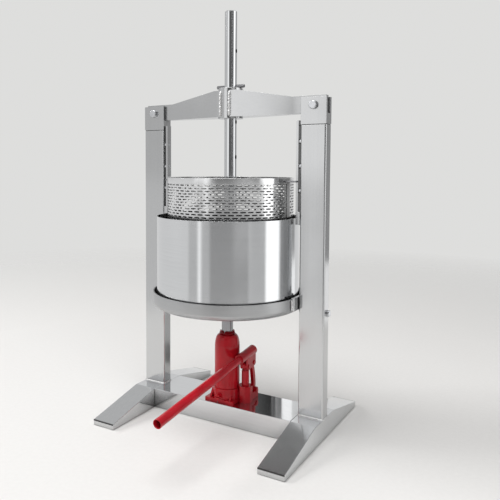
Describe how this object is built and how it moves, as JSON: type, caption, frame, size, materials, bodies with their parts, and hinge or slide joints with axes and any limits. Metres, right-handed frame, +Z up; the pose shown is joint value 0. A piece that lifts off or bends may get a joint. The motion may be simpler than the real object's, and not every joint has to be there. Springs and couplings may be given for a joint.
{
  "type": "hydraulic fruit press",
  "caption": "Two-post stainless fruit press: a red bottle jack lifts a tray with a slotted basket in a drum against a plate on a pinned rod under a bolted crossbeam.",
  "frame": {"origin": "on the floor under the press rod, on the underside of the base stiffener", "axes": "+Z up along the press rod, +X along the crossbeam to the pump side, -Y to the front where the jack handle points"},
  "size_m": [0.422, 0.4882, 0.82],
  "materials": {
    "stainless_polished": "polished",
    "stainless_satin": "satin",
    "plated_steel": "plated",
    "dark_steel": "dull",
    "jack_paint": "gloss",
    "handle_paint": "gloss",
    "black_rubber": "matte"
  },
  "bodies": {
    "frame": {"base_channel": "stainless_satin", "base_stiffener": "stainless_satin", "left_foot": "stainless_polished", "right_foot": "stainless_polished", "foot_end_plates": "stainless_satin", "left_upright": "stainless_satin", "right_upright": "stainless_satin", "left_head_bracket": "stainless_satin", "right_head_bracket": "stainless_satin", "left_beam_arm": "stainless_satin", "right_beam_arm": "stainless_satin", "rod_sleeve": "stainless_satin", "beam_bolts": "plated_steel", "beam_washers": "plated_steel", "beam_nuts": "plated_steel", "left_guide_bar": "stainless_polished", "right_guide_bar": "stainless_polished", "guide_bar_blocks": "stainless_satin", "guide_bar_spacers": "plated_steel", "guide_bar_screws": "dark_steel", "tray_stop_bolts": "plated_steel", "jack_base": "jack_paint", "jack_tank": "jack_paint", "jack_top_nut": "jack_paint", "jack_cylinder": "dark_steel", "filler_plug": "black_rubber", "pump_cylinder": "jack_paint", "link_lower_pin": "plated_steel"},
    "rod": {"press_rod": "stainless_polished", "press_plate": "stainless_satin", "plate_hub": "stainless_satin", "plate_screw": "plated_steel"},
    "pin": {"locking_pin": "plated_steel"},
    "tray": {"juice_tray": "stainless_satin", "tray_spout": "stainless_satin", "left_tray_guide": "stainless_satin", "right_tray_guide": "stainless_satin", "splash_drum": "stainless_polished", "basket_shell": "stainless_satin", "basket_rim": "stainless_polished", "basket_floor": "stainless_satin", "basket_ears": "stainless_polished", "basket_seam_strips": "stainless_satin"},
    "ram": {"jack_ram": "stainless_polished", "ram_seal": "black_rubber", "jack_saddle": "stainless_polished"},
    "valve": {"release_valve": "jack_paint"},
    "plunger": {"pump_plunger": "jack_paint", "plunger_pin": "plated_steel"},
    "link": {"fulcrum_link": "jack_paint"},
    "lever": {"lever_socket": "handle_paint", "link_upper_pin": "plated_steel"},
    "handle": {"handle_rod": "handle_paint", "handle_tube": "handle_paint"}
  },
  "joints": [
    {"name": "rod_lift", "type": "slide", "parent": "frame", "child": "rod", "axis": [0, 0, 1], "range_m": [0, 0.2]},
    {"name": "pin_pull", "type": "slide", "parent": "rod", "child": "pin", "axis": [1, 0, 0], "range_m": [0, 0.045]},
    {"name": "tray_lift", "type": "slide", "parent": "frame", "child": "tray", "axis": [0, 0, 1], "range_m": [0, 0.05]},
    {"name": "ram_lift", "type": "slide", "parent": "frame", "child": "ram", "axis": [0, 0, 1], "range_m": [0, 0.05]},
    {"name": "valve_turn", "type": "hinge", "parent": "frame", "child": "valve", "pos_m": [-0.003, -0.046, 0.052], "axis": [0, -1, 0], "range_deg": [0, 180]},
    {"name": "link_swing", "type": "hinge", "parent": "frame", "child": "link", "pos_m": [0.04, 0.028, 0.053], "axis": [1, 0, 0], "range_deg": [0, 0.65]},
    {"name": "lever_swing", "type": "hinge", "parent": "link", "child": "lever", "pos_m": [0.04, 0.016, 0.115], "axis": [-1, 0, 0], "range_deg": [0, 28]},
    {"name": "plunger_slide", "type": "slide", "parent": "frame", "child": "plunger", "axis": [0, 0, 1], "range_m": [0, 0.01045]},
    {"name": "handle_pull", "type": "slide", "parent": "lever", "child": "handle", "axis": [0, -0.9945, -0.1045], "range_m": [0, 0.045]}
  ],
  "couplings": [
    {"joint": "ram_lift", "follows": "tray_lift", "ratio": 1},
    {"joint": "link_swing", "follows": "lever_swing", "ratio": 0.022},
    {"joint": "plunger_slide", "follows": "lever_swing", "m_per_rad": 0.021225}
  ]
}
